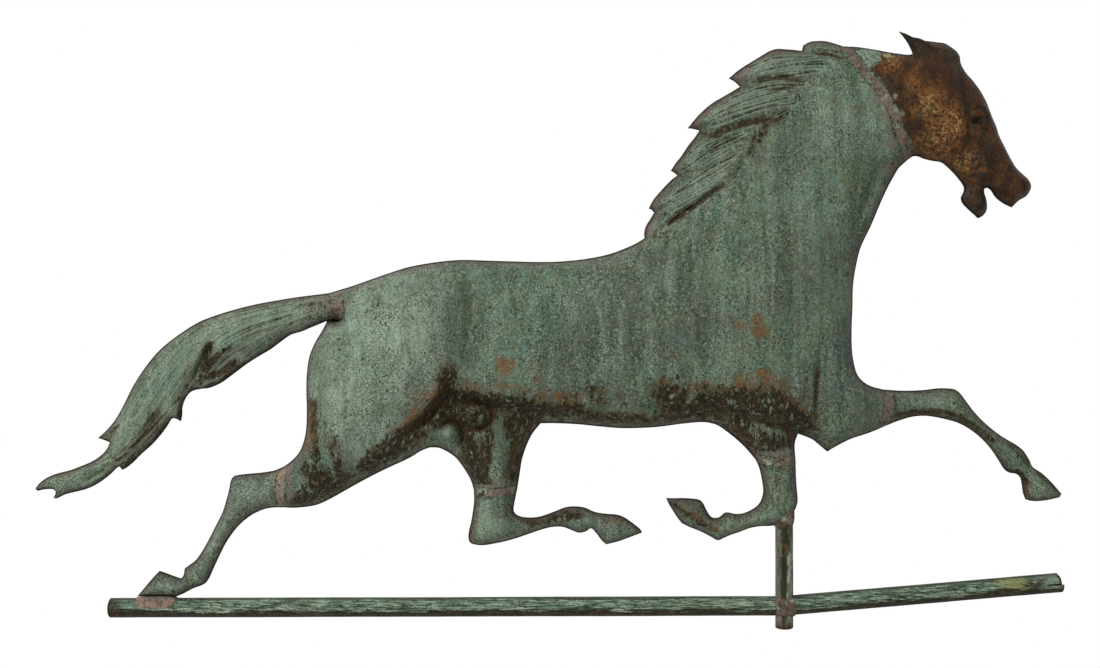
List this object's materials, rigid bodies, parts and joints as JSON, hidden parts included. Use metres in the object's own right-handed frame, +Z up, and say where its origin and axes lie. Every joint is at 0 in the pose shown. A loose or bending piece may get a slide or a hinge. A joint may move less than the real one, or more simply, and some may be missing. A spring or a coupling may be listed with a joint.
{
  "type": "horse weathervane",
  "caption": "Full-bodied trotting horse weathervane in pressed verdigris copper with a cast head, on a bar that turns about an upright spindle.",
  "frame": {"origin": "centre of the spindle's foot, on the axis that the vane turns about", "axes": "+X is the way the horse faces, +Z is up along the spindle, -Y is the near side of the horse"},
  "size_m": [0.9234, 0.0852, 0.537],
  "materials": {
    "verdigris_copper": "pitted grey-green verdigris on pressed sheet copper",
    "tube_copper": "dark olive and brown patina on drawn tube",
    "cast_head": "rust-brown casting with ochre patches",
    "solder": "dull grey-mauve soft solder",
    "spindle_iron": "dark iron, worn bright at its point"
  },
  "bodies": {
    "spindle": {"spindle": "spindle_iron"},
    "vane": {"bent_hind_leg_far": "verdigris_copper", "bent_hind_leg_near": "verdigris_copper", "bent_hind_solder": "solder", "body_shell_far": "verdigris_copper", "body_shell_near": "verdigris_copper", "cast_head": "cast_head", "cross_solder": "solder", "folded_foreleg_far": "verdigris_copper", "folded_foreleg_near": "verdigris_copper", "folded_foreleg_solder": "solder", "front_bar": "verdigris_copper", "front_bar_liner": "tube_copper", "hoof_solder_pad": "solder", "knee_solder": "solder", "neck_solder": "solder", "pivot_cap": "spindle_iron", "reaching_foreleg_far": "verdigris_copper", "reaching_foreleg_near": "verdigris_copper", "reaching_foreleg_solder": "solder", "rear_bar": "verdigris_copper", "rear_bar_cap": "tube_copper", "spindle_tube": "tube_copper", "tail_shell_far": "verdigris_copper", "tail_shell_near": "verdigris_copper", "tail_solder": "solder", "trailing_hind_leg_far": "verdigris_copper", "trailing_hind_leg_near": "verdigris_copper", "trailing_hind_solder": "solder"}
  },
  "joints": [
    {"name": "vane_turn", "type": "hinge", "parent": "spindle", "child": "vane", "pos_m": [0, 0, 0], "axis": [0, 0, 1], "continuous": true}
  ]
}
